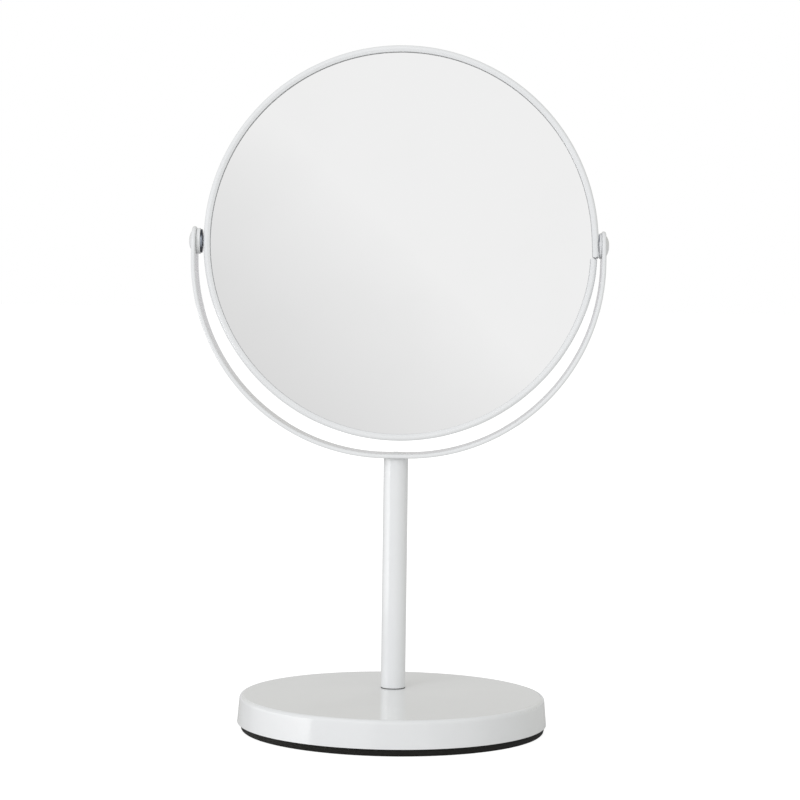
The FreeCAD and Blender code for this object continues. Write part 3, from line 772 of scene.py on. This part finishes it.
@dataclass
class MirrorHead:
    """The rolled hoop with its two mirrors and pivots."""

    sheet: float = 0.7 * MM
    lip: float = 3.2 * MM
    bend: float = 1.5 * MM
    lip_lean: float = math.radians(22)
    half_depth: float = 5.48 * MM
    seam_drop: float = 6.2 * MM
    seam_gap: float = 0.36 * MM
    end_round: float = 0.18 * MM
    end_corner: float = 0.9 * MM
    notch_depth: float = 0.65 * MM
    notch_width: float = 0.55 * MM
    notch_reach: float = 1.6 * MM
    upper_flare: float = 0.5 * MM
    upper_reach: float = 16 * MM
    lower_tuck: float = 0.42 * MM
    lower_reach: float = 16 * MM
    squeeze: float = 0.15 * MM
    squeeze_angle: float = math.radians(-24)
    hoop_steps: int = 900
    end_steps: int = 12
    edge_steps: int = 5
    bend_steps: int = 16
    wall_steps: int = 6
    glass: float = 2.0 * MM
    glass_index: float = 1.5
    glass_inset: float = 1.0 * MM
    hollow_radius: float = 1.0
    mirror_turns: int = 288
    mirror_rings: int = 24
    card: float = 0.4 * MM
    foam_width: float = 6.0 * MM
    foam_bed_gap: float = 0.05 * MM
    foam_waist: float = 0.3 * MM
    foam_steps: int = 9
    foam_turns: int = 240
    foam_fill: float = 0.7
    washer_hole: float = 2.55 * MM
    washer_rim: float = 0.76 * MM
    washer_round: float = 0.2 * MM
    washer_dish: float = 0.3 * MM
    washer_steps: int = 9
    washer_turns: int = 96

    def __post_init__(self) -> None:
        """Take the radii of the hoop, glasses and foam ring from the model, and lay out the section."""
        self.head = HeadFrame()
        self.radius, self.glass_radius, self.foam_radius = (
            (high.x - low.x) / 2 for low, high in map(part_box, ("rim_hoop", "front_glass", "foam_ring")))
        half = self.sheet / 2
        self.turn = self.bend - half
        self.turn_angle = math.pi / 2 + self.lip_lean
        self.wall_half = self.half_depth - self.bend
        reach = half + self.turn * (1 + math.sin(self.lip_lean))
        self.lip_flat = (self.lip - reach) / math.cos(self.lip_lean)
        self.section_half = self.wall_half + self.turn * self.turn_angle + self.lip_flat
        self.grip = self.turn * (1 - math.cos(self.lip_lean)) + self.lip_flat * math.sin(self.lip_lean)

    def axis_height(self) -> float:
        """The height of the pivot axis."""
        return float(self.head.pivot[2])

    def sheet_section(self, along: np.ndarray) -> tuple[np.ndarray, np.ndarray, np.ndarray]:
        """The channel's middle line, from the edge of its front lip to the edge of its back lip.

        From the middle of the wall the line runs straight either way, then turns inwards on a circle
        by more than a right angle, and ends in a short straight lip that leans in to grip the glass.

        Args:
            along: distances along the line.

        Returns:
            How far the line lies inside the hoop's outer radius, its depth, and the angle of its normal.
        """
        side = np.sign(along - self.section_half)
        run = np.abs(along - self.section_half)
        turned = np.clip((run - self.wall_half) / self.turn, 0, self.turn_angle)
        on_wall = np.minimum(run, self.wall_half)
        on_lip = np.clip(run - self.section_half + self.lip_flat, 0, None)
        inside = self.sheet / 2 + self.turn * (1 - np.cos(turned)) + on_lip * math.sin(self.turn_angle)
        depth = side * (on_wall + self.turn * np.sin(turned) + on_lip * math.cos(self.turn_angle))
        return inside, depth, np.pi / 2 + side * turned

    def section_stops(self) -> np.ndarray:
        """Places along the channel's middle line, closer together at the lips' edges and the bends.

        Returns:
            Distances from the edge of the front lip.
        """
        half = self.sheet / 2
        bent = self.section_half - self.wall_half
        edge = half * (1 - np.cos(np.linspace(0, np.pi / 2, self.edge_steps)))
        bend = np.linspace(half, bent, self.bend_steps)[1:]
        middle = bent + np.linspace(0, 2 * self.wall_half, self.wall_steps)[1:-1]
        half_way = np.concatenate((edge, bend))
        return np.concatenate((half_way, middle, 2 * self.section_half - half_way[::-1]))

    def hoop_stops(self, length: float) -> np.ndarray:
        """Places along the hoop, closer together near both of its ends.

        Args:
            length: the angle from end to end.

        Returns:
            Angles from the hoop's upper end.
        """
        close = self.end_round / self.radius * (1 - np.cos(np.linspace(0, np.pi / 2, self.end_steps)))
        near = np.linspace(self.end_round, self.end_corner, self.end_steps)[1:] / self.radius
        spread = np.linspace(self.end_round / self.radius, length / 2, self.hoop_steps // 2)[1:]
        half_way = np.unique(np.concatenate((close, near, spread)))
        return np.concatenate((half_way, length - half_way[-2::-1]))

    def end_cut(self, from_end: np.ndarray) -> np.ndarray:
        """How far the lips' corners are cut back, as a quarter circle, at distances from an end."""
        left = np.clip(self.end_corner - from_end, 0, None)
        return self.end_corner - np.sqrt(self.end_corner ** 2 - left ** 2)

    def bend_notch(self, along: np.ndarray) -> np.ndarray:
        """How far the ends draw back at the two bends, as a bell curve round each bend's middle.

        Args:
            along: distances along the section.

        Returns:
            The draw at each of them.
        """
        bend = self.lip_flat + self.turn * self.turn_angle / 2
        from_bend = np.minimum(np.abs(along - bend), np.abs(2 * self.section_half - along - bend))
        return self.notch_depth * np.exp(-(from_bend / self.notch_width) ** 2)

    def hoop_points(self) -> np.ndarray:
        """The hoop's skin: the section carried round a circle from one side of the seam to the other.

        Towards an end the sheet thins as a half round, the lips' corners are cut back, the bends draw
        back, and the end springs out or in by the square of what is left of its reach. The hoop is also
        squeezed along one line by the square of the cosine of the angle from it.

        Returns:
            The points, places round the hoop by places round the section by three.
        """
        seam = math.asin(self.seam_drop / self.radius)
        gap = self.seam_gap / 2 / self.radius
        length = 2 * np.pi - 2 * gap
        turn = self.hoop_stops(length)
        from_upper = turn * self.radius
        from_lower = (length - turn) * self.radius
        from_end = np.minimum(from_upper, from_lower)
        stops = self.section_stops()
        cut = self.end_cut(from_end)[:, None]
        along = cut + (stops[-1] - 2 * cut) * (stops / stops[-1])[None, :]
        inside, depth, facing = self.sheet_section(along)
        half = self.sheet / 2
        rounded = half * half_round(np.minimum(stops, stops[-1] - stops), half)
        thickness = half_round(from_end, self.end_round)[:, None] * rounded[None, :]
        angle = turn + gap - seam
        flare = self.upper_flare * spring(from_upper, self.upper_reach)
        tuck = self.lower_tuck * spring(from_lower, self.lower_reach)
        swell = flare - tuck - self.squeeze * np.cos(angle - self.squeeze_angle) ** 2
        base = self.radius + swell[:, None] - inside
        away = np.where(from_upper < from_lower, 1, -1) * spring(from_end, self.notch_reach)
        angles = angle[:, None] + self.bend_notch(along) * away[:, None] / self.radius
        angles = both_skins(angles, angles)
        outward = thickness * np.sin(facing)
        forward = -thickness * np.cos(facing)
        radii = both_skins(base + outward, base - outward)
        levels = both_skins(depth + forward, depth - forward)
        return np.stack((radii * np.cos(angles), levels, radii * np.sin(angles)), axis=-1)

    def build_hoop(self, paint: bpy.types.Material) -> None:
        """Make the rolled hoop in the CAD hoop's place."""
        hoop = make_piece("rolled_hoop", self.head.placed(self.hoop_points()))
        fit(hoop, "rim_hoop", Body.HEAD, paint)

    def mirror_points(self, face: np.ndarray, back: np.ndarray, radii: np.ndarray) -> np.ndarray:
        """A disc between two turned faces, closed round its edge.

        Args:
            face: depths of the bright face at each radius.
            back: depths of the other face at each radius.
            radii: distances from the middle, from 0 outwards.

        Returns:
            The points in the model's frame.
        """
        both = np.concatenate((radii, radii[::-1]))
        turned = lathe(both, np.concatenate((face, back[::-1])), self.mirror_turns)
        return self.head.placed(turned[..., [0, 2, 1]])

    def bowl(self, ball: float, radii: np.ndarray) -> np.ndarray:
        """Depths on a ball about the hollow glass's centre of curvature.

        Args:
            ball: the ball's radius.
            radii: distances from the middle of the glass.

        Returns:
            The depth at each of them.
        """
        edge = math.sqrt(self.hollow_radius ** 2 - self.glass_radius ** 2)
        centre = self.half_depth - self.sheet + edge
        return centre - np.sqrt(ball ** 2 - radii ** 2)

    def build_mirrors(self, silver: bpy.types.Material) -> None:
        """Make the two bright faces where the eye sees them, behind a thickness of clear glass.

        Looked at through glass, the silver seems to lie at the thickness divided by the glass's index.
        The flat glass bears on the edge of the leaning lip.

        Args:
            silver: the finish of the bright faces.
        """
        radii = np.linspace(0, self.glass_radius - self.glass_inset, self.mirror_rings)
        inside = self.half_depth - self.sheet
        seen = self.glass / self.glass_index
        flat = np.full_like(radii, seen + self.grip - inside)
        flat_back = np.full_like(radii, self.glass - inside)
        flat_points = self.mirror_points(flat, flat_back, radii)
        front = make_piece("flat_mirror_face", flat_points)
        fit(front, "front_glass", Body.HEAD, silver)
        hollow = self.bowl(self.hollow_radius + seen, radii)
        belly = self.bowl(self.hollow_radius + self.glass, radii)
        hollow_points = self.mirror_points(hollow, belly, radii)
        rear = make_piece("hollow_mirror_face", hollow_points)
        fit(rear, "magnifying_glass", Body.HEAD, silver)

    def build_foam_ring(self, foam: bpy.types.Material) -> None:
        """Make the foam ring between the two mirrors, its sides drawn in by a half sine.

        Args:
            foam: the ring's finish.
        """
        low = self.glass - self.half_depth + self.sheet + self.card
        outer = self.foam_radius
        inner = outer - self.foam_width
        tops = self.bowl(self.hollow_radius + self.glass + self.foam_bed_gap, np.array([outer, inner]))
        climb = np.linspace(0, 1, self.foam_steps)
        drawn = self.foam_waist * np.sin(np.pi * climb)
        outer_levels = low + (tops[0] - low) * climb
        inner_levels = low + (tops[1] - low) * climb
        radii = np.concatenate((outer - drawn, (inner + drawn)[::-1], [outer]))
        levels = np.concatenate((outer_levels, inner_levels[::-1], [low]))
        points = self.head.placed(lathe(radii, levels, self.foam_turns)[..., [0, 2, 1]])
        ring = make_piece("foam_cushion_ring", points)
        fit(ring, "foam_ring", Body.HEAD, foam)

    def build_washer(self, metal: bpy.types.Material) -> None:
        """Make the left pivot's dished washer.

        It is turned about the pivot axis: a flat face against the spacer, a rim that is half an ellipse,
        and a face towards the hoop that rises as a quarter sine from the rim to the hole.

        Args:
            metal: the washer's finish.
        """
        low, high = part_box("left_friction_washer")
        radius = (high.z - low.z) / 2
        inner = radius - self.washer_round
        round_rim = np.linspace(-np.pi / 2, np.pi / 2, self.washer_steps)
        share = np.linspace(0, 1, self.washer_steps)[1:]
        rim_radii = inner + self.washer_round * np.cos(round_rim)
        rim_levels = self.washer_rim / 2 * (1 + np.sin(round_rim))
        face_radii = inner + (self.washer_hole - inner) * share
        face_levels = self.washer_rim + self.washer_dish * np.sin(np.pi / 2 * share)
        radii = np.concatenate(([self.washer_hole], rim_radii, face_radii, [self.washer_hole]))
        levels = np.concatenate(([0.0], rim_levels, face_levels, [0.0]))
        points = lathe(radii, low.x + levels, self.washer_turns)[..., [2, 0, 1]]
        points[..., 1:] += self.head.pivot[1:]
        washer = make_piece("dished_washer", points)
        fit(washer, "left_friction_washer", Body.HEAD, metal)

    def dress(self, paint: bpy.types.Material, washer: bpy.types.Material,
              steel: bpy.types.Material, card: bpy.types.Material) -> None:
        """Finish the pivots and inner pieces.

        Args:
            paint: the finish of the screws.
            washer: the finish of the thin right washer.
            steel: the finish of the plates inside the hoop.
            card: the finish of the backing card.
        """
        dress(("left_pivot_screw", "right_pivot_screw"), paint)
        dress(("right_friction_washer",), washer)
        dress(("left_nut_plate", "right_joint_plate"), steel)
        dress(("backing_card",), card)


@dataclass(frozen=True)
class Softbox:
    """A square soft lamp that lights the object but doesn't show in its gloss."""

    name: str
    place: Point
    width: float
    power: float
    colour: Colour

    def build(self, aim: Vector) -> None:
        """Add the lamp to the scene.

        Args:
            aim: the point that it is turned to.
        """
        lamp = bpy.data.lights.new(self.name, "AREA")
        lamp.size = self.width
        lamp.energy = self.power
        lamp.color = self.colour
        holder = bpy.data.objects.new(self.name, lamp)
        holder.location = self.place
        holder.rotation_euler = (aim - Vector(self.place)).to_track_quat("-Z", "Y").to_euler()
        holder.visible_glossy = False
        bpy.context.scene.collection.objects.link(holder)


@dataclass
class Studio:
    """A pale satin floor in a light tent, with soft lamps, a front screen and one low strip lamp."""

    aim: Point = (0.0, 0.0, 0.2)
    softboxes: tuple[Softbox, ...] = (
        Softbox("key_lamp", (-1.05, -1.95, 1.05), 1.6, 21.0, (0.93, 0.935, 1.0)),
        Softbox("back_lamp", (0.3, 2.2, 0.8), 1.6, 9.0, WHITE),
    )
    ambient: Colour = (0.669, 0.675, 0.655)
    wall_tone: Colour = (0.435, 0.448, 0.475)
    floor_half: float = 12.0
    floor_colour: Colour = (0.8, 0.8, 0.8)
    paper_shade: Colour = (0.3, 0.3, 0.3)
    paper_glow: float = 0.875
    paper_reflected: float = 0.3
    paper_index: float = 1.45
    paper_gloss: float = 0.08
    strip_left: float = 0.39
    strip_front: float = -0.265
    strip_back: float = 0.22
    strip_height: float = 0.13
    strip_radiance: float = 4.4
    strip_fade: float = 7.15
    strip_colour: Colour = WHITE
    screen_front: float = -2.5
    screen_half: float = 1.4
    screen_height: float = 2.4
    screen_glow: float = 0.93
    screen_least: float = 0.6
    screen_fade: float = 0.424
    screen_edge: float = 0.511
    screen_rise: float = 1.06
    screen_colour: Colour = WHITE
    backdrop_back: float = 2.2
    backdrop_half: float = 3.0
    backdrop_height: float = 1.6
    backdrop_tone: Colour = (0.515, 0.505, 0.472)
    band_tone: Colour = (0.66, 0.65, 0.67)
    band_low: float = 0.29
    band_high: float = 0.39

    def sheet_of(self, name: str, corners: list[Point]) -> tuple[bpy.types.Object, Graph]:
        """Make a flat stage piece with an empty material.

        Args:
            name: the piece's name.
            corners: its four corners in order.

        Returns:
            The piece, and its material's graph.
        """
        mesh = bpy.data.meshes.new(name)
        mesh.from_pydata(corners, [], [(0, 1, 2, 3)])
        piece = bpy.data.objects.new(name, mesh)
        bpy.context.scene.collection.objects.link(piece)
        material, graph = new_graph(name)
        mesh.materials.append(material)
        return piece, graph

    def build_floor(self) -> None:
        """Make the floor.

        To the camera it is white paper with the object's shadow, and to the light a pale table. Seen at
        a low angle in the object's own gloss, the paper has the sheen of satin.
        """
        edge = self.floor_half
        corners = [(-edge, -edge, 0), (edge, -edge, 0), (edge, edge, 0), (-edge, edge, 0)]
        floor, graph = self.sheet_of("floor", corners)
        rays = graph.add("ShaderNodeLightPath", {}, {})
        reflected = rays["Is Glossy Ray"].maximum(rays["Is Transmission Ray"])
        seen = rays["Is Camera Ray"].maximum(reflected)
        glow = rays["Is Camera Ray"] * self.paper_glow + reflected * self.paper_reflected
        paper = graph.add("ShaderNodeEmission", {}, {"Strength": glow})["Emission"]
        shade = graph.add("ShaderNodeBsdfDiffuse", {}, {"Color": (*self.paper_shade, 1.0)})["BSDF"]
        table = graph.add("ShaderNodeBsdfDiffuse", {}, {"Color": (*self.floor_colour, 1.0)})["BSDF"]
        sheen = graph.add("ShaderNodeBsdfAnisotropic", {}, {"Roughness": self.paper_gloss})["BSDF"]
        low_angle = graph.add("ShaderNodeFresnel", {}, {"IOR": self.paper_index})["Fac"] * reflected
        sheet = graph.add("ShaderNodeAddShader", {}, {"Shader": paper, "Shader_001": shade})["Shader"]
        plain = graph.add("ShaderNodeMixShader", {}, {"Fac": seen, "Shader": table, "Shader_001": sheet})
        inputs = {"Fac": low_angle, "Shader": plain["Shader"], "Shader_001": sheen}
        surface = graph.add("ShaderNodeMixShader", {}, inputs)["Shader"]
        graph.add("ShaderNodeOutputMaterial", {}, {"Surface": surface})
        floor.data.materials[0].cycles.emission_sampling = "NONE"

    def reflected_sheet(self, name: str, corners: list[Point]) -> Graph:
        """Make a stage piece that only reflections see.

        Args:
            name: the piece's name.
            corners: its four corners in order.

        Returns:
            Its material's graph.
        """
        piece, graph = self.sheet_of(name, corners)
        piece.visible_camera = False
        piece.visible_diffuse = False
        piece.visible_shadow = False
        piece.data.materials[0].cycles.emission_sampling = "NONE"
        return graph

    def glow(self, graph: Graph, colour: Operand, strength: Operand) -> None:
        """Let a stage piece glow.

        Args:
            graph: the piece's graph.
            colour: the glow's colour.
            strength: the glow's strength.
        """
        tone = colour if isinstance(colour, Link) else (*colour, 1.0)
        glow = graph.add("ShaderNodeEmission", {}, {"Color": tone, "Strength": strength})["Emission"]
        graph.add("ShaderNodeOutputMaterial", {}, {"Surface": glow})

    def build_strip(self) -> None:
        """Stand the strip lamp on the floor at the left, brightest at its front edge."""
        left = -self.strip_left
        front = self.strip_front
        back = self.strip_back
        top = self.strip_height
        corners = [(left, front, 0), (left, back, 0), (left, back, top), (left, front, top)]
        graph = self.reflected_sheet("strip_lamp", corners)
        along = graph.add("ShaderNodeSeparateXYZ", {}, {"Vector": graph.place()})["Y"]
        fall = (along - front) * self.strip_fade
        self.glow(graph, self.strip_colour, (self.strip_radiance - fall).maximum(0.0))

    def build_screen(self) -> None:
        """Hang the front screen that the glass and gloss reflect, darker to its lower left.

        Its glow falls in a straight slope below a slanted line.
        """
        half = self.screen_half
        far = self.screen_front
        top = self.screen_height
        corners = [(-half, far, 0), (half, far, 0), (half, far, top), (-half, far, top)]
        graph = self.reflected_sheet("front_screen", corners)
        axes = graph.add("ShaderNodeSeparateXYZ", {}, {"Vector": graph.place()})
        below = (self.screen_edge - axes["X"] - axes["Z"] * self.screen_rise).maximum(0.0)
        glow = (self.screen_glow - below * self.screen_fade).maximum(self.screen_least)
        self.glow(graph, self.screen_colour, glow)

    def build_backdrop(self) -> None:
        """Hang the warm backdrop that shows in gloss at low angles, with a paler band at its foot."""
        half = self.backdrop_half
        far = self.backdrop_back
        top = self.backdrop_height
        corners = [(half, far, 0), (-half, far, 0), (-half, far, top), (half, far, top)]
        graph = self.reflected_sheet("backdrop", corners)
        share = graph.height().step(self.band_low, self.band_high)
        self.glow(graph, graph.mix(share, self.band_tone, self.backdrop_tone), 1.0)

    def build_tent(self) -> None:
        """Make the light tent: white to the camera, an even soft light, and pale walls in reflections."""
        world = bpy.data.worlds.new("light_tent")
        world.use_nodes = True
        bpy.context.scene.world = world
        graph = Graph(world.node_tree)
        rays = graph.add("ShaderNodeLightPath", {}, {})
        reflected = rays["Is Glossy Ray"].maximum(rays["Is Transmission Ray"])
        seen = graph.mix(reflected, self.ambient, self.wall_tone)
        colour = graph.mix(rays["Is Camera Ray"], seen, WHITE)
        tent = graph.add("ShaderNodeBackground", {}, {"Color": colour, "Strength": 1.0})["Background"]
        graph.add("ShaderNodeOutputWorld", {}, {"Surface": tent})

    def build(self) -> None:
        """Set up the whole studio."""
        self.build_floor()
        self.build_strip()
        self.build_screen()
        self.build_backdrop()
        self.build_tent()
        for softbox in self.softboxes:
            softbox.build(Vector(self.aim))
            log.info("%s: %.0f W", softbox.name, softbox.power)


@dataclass
class PhotoCamera:
    """The camera: where it stands round the origin, and where it points."""

    distance: float = 1266 * MM
    azimuth: float = math.radians(1.2)
    height: float = 224.85 * MM
    yaw: float = math.radians(-0.09)
    pitch: float = math.radians(2.932)
    roll: float = math.radians(0.77)
    lens_mm: float = 118.05
    sensor_mm: float = 36.0

    def matrix(self) -> Matrix:
        """The camera's place and turn.

        Returns:
            A matrix whose columns are right, up, backward and the place.
        """
        heading = self.azimuth + self.yaw
        level = math.cos(self.pitch)
        ahead = Vector((-math.sin(heading) * level, math.cos(heading) * level, -math.sin(self.pitch)))
        flat_right = Vector((math.cos(heading), math.sin(heading), 0))
        flat_up = flat_right.cross(ahead)
        right = math.cos(self.roll) * flat_right + math.sin(self.roll) * flat_up
        up = math.cos(self.roll) * flat_up - math.sin(self.roll) * flat_right
        round_axis = Vector((math.sin(self.azimuth), -math.cos(self.azimuth), 0))
        place = round_axis * self.distance + Vector((0, 0, self.height))
        turned = Matrix((right, up, -ahead)).transposed().to_4x4()
        return Matrix.Translation(place) @ turned

    def build(self) -> None:
        """Add the camera to the scene."""
        lens = bpy.data.cameras.new("camera")
        lens.lens = self.lens_mm
        lens.sensor_width = self.sensor_mm
        camera = bpy.data.objects.new("camera", lens)
        camera.matrix_world = self.matrix()
        bpy.context.scene.collection.objects.link(camera)
        bpy.context.scene.camera = camera


def main() -> None:
    """Build the camera, the studio, the finishes and the pieces, in that order."""
    logging.basicConfig(level=logging.INFO, format="%(name)s: %(message)s")
    bpy.context.scene.view_settings.view_transform = "Standard"
    PhotoCamera().build()
    Studio().build()
    paint = PowderCoat().material()
    foam = FoamSkin().material()
    steel = PlatedSteel().material()
    stand = Stand()
    stand.build_pad(foam)
    # The dark foot ring is painted shade for the joint's shadow line.
    stand.build_foot_shade_ring(foam)
    stand.dress(paint, steel, SandCasting().material())
    head = MirrorHead()
    head.build_hoop(paint)
    head.build_mirrors(Silvering().material())
    head.build_foam_ring(foam)
    head.build_washer(BlackenedSteel(head.axis_height()).material())
    head.dress(paint, PaleSteel().material(), steel, GreyCard().material())


if __name__ == "__main__":
    main()
